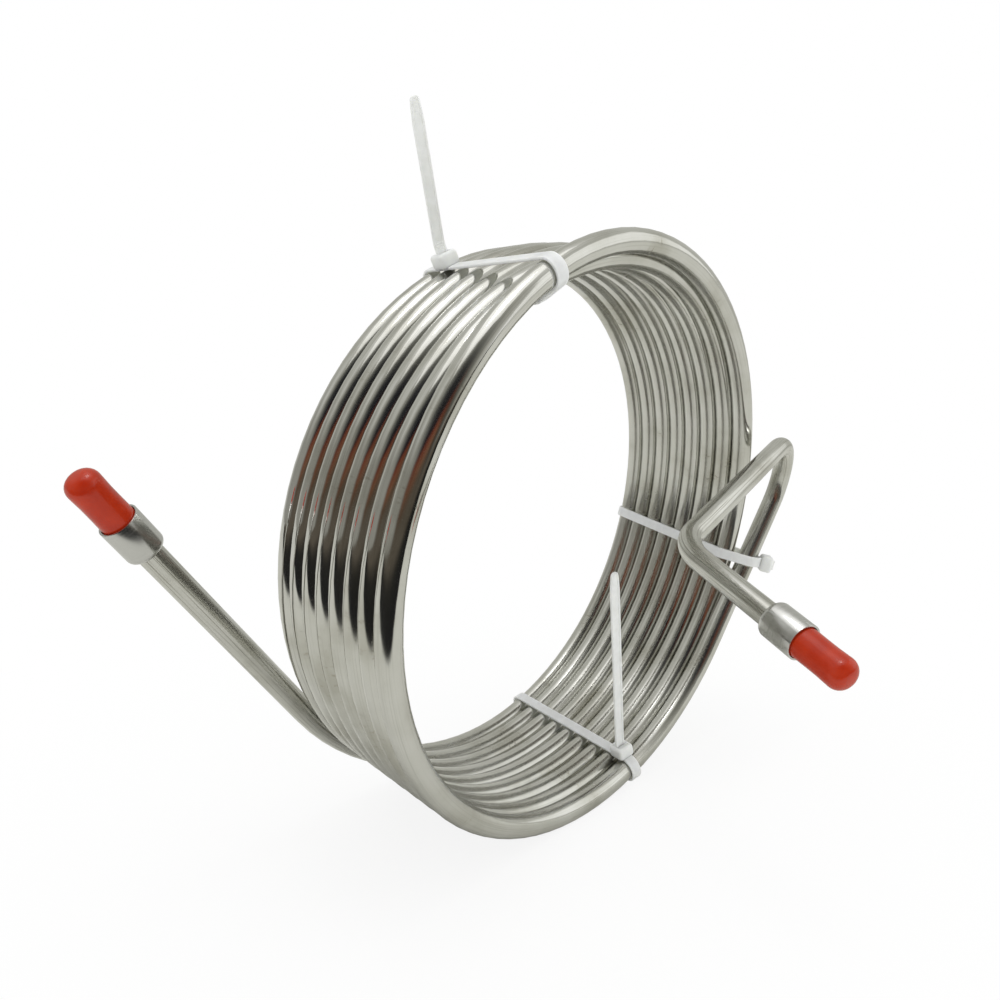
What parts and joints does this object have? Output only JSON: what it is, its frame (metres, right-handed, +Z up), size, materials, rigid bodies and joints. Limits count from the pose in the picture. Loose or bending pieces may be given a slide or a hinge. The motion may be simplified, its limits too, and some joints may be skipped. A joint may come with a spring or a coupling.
{
  "type": "immersion wort chiller",
  "caption": "Helical coil of bare stainless tube with an inlet and an outlet leg, brazed collars, push-on end caps and cable ties that hold the turns together.",
  "frame": {"origin": "middle of the flat under the middle turn, where the coil rests on the ground", "axes": "+Z up; the stack's axis runs along Y, the outlet end faces -Y; +X to the outlet's rising tube"},
  "size_m": [0.3438, 0.2207, 0.2895],
  "materials": {
    "tube": "bright drawn stainless tube",
    "collars": "satin turned stainless",
    "caps": "glossy dipped vinyl",
    "ties": "natural nylon, slightly translucent"
  },
  "bodies": {
    "chiller": {"coil_tube": "tube", "inlet_collar": "collars", "outlet_collar": "collars", "top_tie": "ties", "bottom_tie": "ties", "side_tie": "ties"},
    "inlet_cap": {"inlet_cap": "caps"},
    "outlet_cap": {"outlet_cap": "caps"}
  },
  "joints": [
    {"name": "pull_inlet_cap", "type": "slide", "parent": "chiller", "child": "inlet_cap", "axis": [-0.5991, -0.1956, 0.7764], "range_m": [0, 0.03]},
    {"name": "pull_outlet_cap", "type": "slide", "parent": "chiller", "child": "outlet_cap", "axis": [-0.1617, -0.9377, -0.3074], "range_m": [0, 0.03]}
  ]
}
